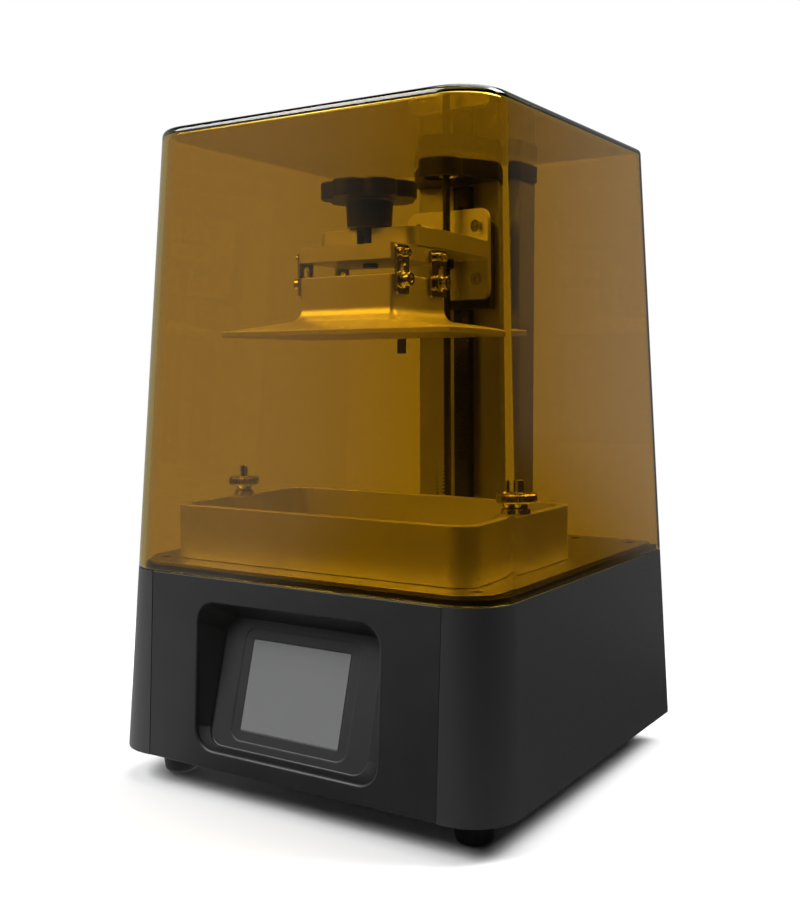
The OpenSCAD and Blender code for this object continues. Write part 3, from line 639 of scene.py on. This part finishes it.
def make_build_plate():
    """A flat plate that rises in a shallow pyramid and a concave flare to the clamp block."""
    low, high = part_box("build_plate")
    x, y = (low.x + high.x) / 2, (low.y + high.y) / 2
    half_w, half_d = (high.x - low.x) / 2, (high.y - low.y) / 2
    block_w, block_d, flare = 27.9 * MM, 22.8 * MM, 7 * MM
    edge_top = low.z + 3 * MM
    foot = edge_top + 4.2 * MM
    soft = 0.5 * MM

    def ring(z, w, d, r):
        return [(x + px, y + py, z) for px, py in outline(w, -d, d, r, r, 5)]

    rings = [ring(low.z, half_w - soft, half_d - soft, 0.6 * MM), ring(low.z + soft, half_w, half_d, MM)]
    rings.append(ring(edge_top - soft, half_w, half_d, MM))
    rings.append(ring(edge_top, half_w - soft, half_d - soft, 0.6 * MM))
    rings.append(ring(edge_top + 0.1 * MM, half_w - 2 * MM, half_d - 2 * MM, 1.2 * MM))
    for i in range(13):
        a = pi / 2 * i / 12
        grow = flare * (1 - sin(a))
        rings.append(ring(foot + flare * (1 - cos(a)), block_w + grow, block_d + grow, 1.8 * MM + grow))
    rings.append(ring(high.z - 0.6 * MM, block_w, block_d, 1.8 * MM))
    rings.append(ring(high.z, block_w - 0.6 * MM, block_d - 0.6 * MM, 1.2 * MM))
    piece = new_piece("platform_plate", loft("platform_plate", rings), "build_plate", 30)
    even_normals(piece)


make_build_plate()

# ---------------------------------------------------------------- pieces that keep the CAD shape, softened

SOFT_EDGES = {
    "base_shell": 0.5, "rear_panel": 0.3, "top_deck": 0.5, "top_plate": 0.25, "z_column": 0.7,
    "column_cap": 0.9, "linear_rail": 0.25, "rail_carriage": 0.5, "z_arm": 0.45, "lead_nut": 0.3,
    "limit_flag": 0.15, "limit_sensor": 0.4, "clamp_plate": 0.45, "level_brackets": 0.2, "vat_frame": 0.5,
    "vat_studs": 0.12, "display_glass": 0.15, "lcd_panel": 0.2, "fan_frame": 0.4, "fan_rotor": 0.25,
    "fan_guard": 0.3, "dc_inlet": 0.3, "switch_housing": 0.4, "switch_rocker": 0.3, "usb_port": 0.15,
    "ethernet_port": 0.2, "arm_screws": 0.25, "bracket_screws": 0.15, "lock_screws": 0.2, "rail_screws": 0.2,
    "rear_panel_screws": 0.2, "fan_screws": 0.2, "knob_stud": 0.3, "feet": 0.3, "stepper_motor": 0.5,
    "coupler": 0.4, "top_bearing": 0.2, "film_frame": 0.2, "base_floor": 0.2, "plate_screws": 0.1,
}
for node_name, width_mm in SOFT_EDGES.items():
    softened(node_name, width_mm * MM)

for node_name, node_object in nodes.items():
    node_object.data.materials.clear()
    node_object.data.materials.append(FINISH[SLOT_OF[node_name]])

# ---------------------------------------------------------------- stage and light

VIEW_WAY = (-0.537, 0.844, 0)
LEFT_WAY = (-0.954, 0.3, 0)
UP_WAY = (0, 0, 1)
STUDIO_DARK, STUDIO_LEFT, STUDIO_BACK = 0.015, 0.46, 0.36
LIT_FLOOR_END, WHITE_FLOOR_START = 0.19, 0.5
FLOOR_MIDDLE_SHIFT = (0.07, 0.03, 0)
NEAR_FLOOR_MIRROR = 1.7


def math_node(tree, operation, first, second):
    """One Math node; second is a socket or a number."""
    node = tree.nodes.new("ShaderNodeMath")
    node.operation = operation
    tree.links.new(first, node.inputs[0])
    if isinstance(second, (int, float)):
        node.inputs[1].default_value = second
    else:
        tree.links.new(second, node.inputs[1])
    return node.outputs["Value"]


def step_between(tree, value, start, end, low, high):
    """A smooth step from low to high as value goes from start to end."""
    node = tree.nodes.new("ShaderNodeMapRange")
    node.interpolation_type = "SMOOTHSTEP"
    for socket, number in zip(("From Min", "From Max", "To Min", "To Max"), (start, end, low, high)):
        node.inputs[socket].default_value = number
    tree.links.new(value, node.inputs["Value"])
    return node.outputs["Result"]


def along(tree, direction, way):
    node = tree.nodes.new("ShaderNodeVectorMath")
    node.operation = "DOT_PRODUCT"
    node.inputs[1].default_value = way
    tree.links.new(direction, node.inputs[0])
    return node.outputs["Value"]


def studio_light(tree, direction):
    """How bright the studio is in a direction: grey to the left and behind, dark in front, dim overhead."""
    left = step_between(tree, along(tree, direction, LEFT_WAY), 0.23, 0.38, STUDIO_DARK, STUDIO_LEFT)
    back = step_between(tree, along(tree, direction, VIEW_WAY), 0.46, 0.61, 0, STUDIO_BACK)
    level = step_between(tree, along(tree, direction, UP_WAY), 0.35, 0.8, 1, 0.15)
    return math_node(tree, "MULTIPLY", math_node(tree, "MAXIMUM", left, back), level)


def seen_straight(tree):
    """1 for rays from the eye that met nothing but clear walls."""
    path = tree.nodes.new("ShaderNodeLightPath")
    undiffused = math_node(tree, "LESS_THAN", path.outputs["Diffuse Depth"], 0.5)
    unmirrored = math_node(tree, "LESS_THAN", path.outputs["Glossy Depth"], 0.5)
    straight = math_node(tree, "MULTIPLY", undiffused, unmirrored)
    through = math_node(tree, "MULTIPLY", straight, path.outputs["Is Transmission Ray"])
    return math_node(tree, "MAXIMUM", through, path.outputs["Is Camera Ray"])


def make_floor():
    """A sheet, lit and shadowed near the object, that glows further out; reflections see the studio in it."""
    bm = bmesh.new()
    bmesh.ops.create_circle(bm, cap_ends=True, radius=25, segments=64)
    mesh = mesh_from(bm, "floor")
    floor = bpy.data.objects.new("floor", mesh)
    floor.location.z = -0.05 * MM
    bpy.context.scene.collection.objects.link(floor)
    material, tree, shader = new_material("floor_paper")
    shader.inputs["Base Color"].default_value = (0.9, 0.9, 0.9, 1)
    shader.inputs["Roughness"].default_value = 0.75
    shader.inputs["Specular IOR Level"].default_value = 0.25
    coord = tree.nodes.new("ShaderNodeTexCoord")
    distance = tree.nodes.new("ShaderNodeVectorMath")
    distance.operation = "LENGTH"
    way = tree.nodes.new("ShaderNodeVectorMath")
    way.operation = "NORMALIZE"
    shifted = tree.nodes.new("ShaderNodeVectorMath")
    shifted.operation = "ADD"
    shifted.inputs[1].default_value = FLOOR_MIDDLE_SHIFT
    tree.links.new(coord.outputs["Object"], shifted.inputs[0])
    tree.links.new(shifted.outputs["Vector"], distance.inputs[0])
    tree.links.new(coord.outputs["Object"], way.inputs[0])
    glow = tree.nodes.new("ShaderNodeEmission")
    nearer = step_between(tree, distance.outputs["Value"], 0.3, 1.0, NEAR_FLOOR_MIRROR, 1)
    mirrored = math_node(tree, "MULTIPLY", studio_light(tree, way.outputs["Vector"]), nearer)
    tree.links.new(math_node(tree, "MAXIMUM", mirrored, seen_straight(tree)), glow.inputs["Strength"])
    path = tree.nodes.new("ShaderNodeLightPath")
    far = step_between(tree, distance.outputs["Value"], LIT_FLOOR_END, WHITE_FLOOR_START, 0, 1)
    mix = tree.nodes.new("ShaderNodeMixShader")
    output = next(n for n in tree.nodes if n.type == "OUTPUT_MATERIAL")
    tree.links.new(math_node(tree, "MAXIMUM", far, path.outputs["Is Glossy Ray"]), mix.inputs["Fac"])
    tree.links.new(shader.outputs["BSDF"], mix.inputs[1])
    tree.links.new(glow.outputs["Emission"], mix.inputs[2])
    tree.links.new(mix.outputs["Shader"], output.inputs["Surface"])
    mesh.materials.append(material)


def soft_box(name, place, target, size, radiance):
    """A square light that faces a target; radiance is how bright it looks."""
    data = bpy.data.lights.new(name, "AREA")
    data.shape = "RECTANGLE"
    data.size, data.size_y = size
    data.energy = radiance * pi * size[0] * size[1]
    lamp = bpy.data.objects.new(name, data)
    lamp.location = place
    direction = Vector(target) - Vector(place)
    lamp.rotation_euler = direction.to_track_quat("-Z", "Y").to_euler()
    bpy.context.scene.collection.objects.link(lamp)


def make_world():
    """The studio's light; seen directly or through clear walls, the background is white."""
    world = bpy.data.worlds.new("studio")
    bpy.context.scene.world = world
    world.use_nodes = True
    tree = world.node_tree
    background = next(n for n in tree.nodes if n.type == "BACKGROUND")
    coord = tree.nodes.new("ShaderNodeTexCoord")
    light = math_node(tree, "MAXIMUM", studio_light(tree, coord.outputs["Generated"]), seen_straight(tree))
    tree.links.new(light, background.inputs["Strength"])
    background.inputs["Color"].default_value = (1, 1, 1, 1)


make_floor()
make_world()
MIDDLE = (0, 0, 0.16)
soft_box("light_front_high", (-0.72, -0.92, 1.3), MIDDLE, (1.0, 0.9), 11.0)
soft_box("light_right_high", (0.95, 0.8, 1.5), MIDDLE, (0.9, 0.8), 15.0)
soft_box("light_above", (0.15, 0.35, 1.6), MIDDLE, (1.5, 1.3), 3.6)
bpy.context.scene.view_settings.view_transform = "Standard"
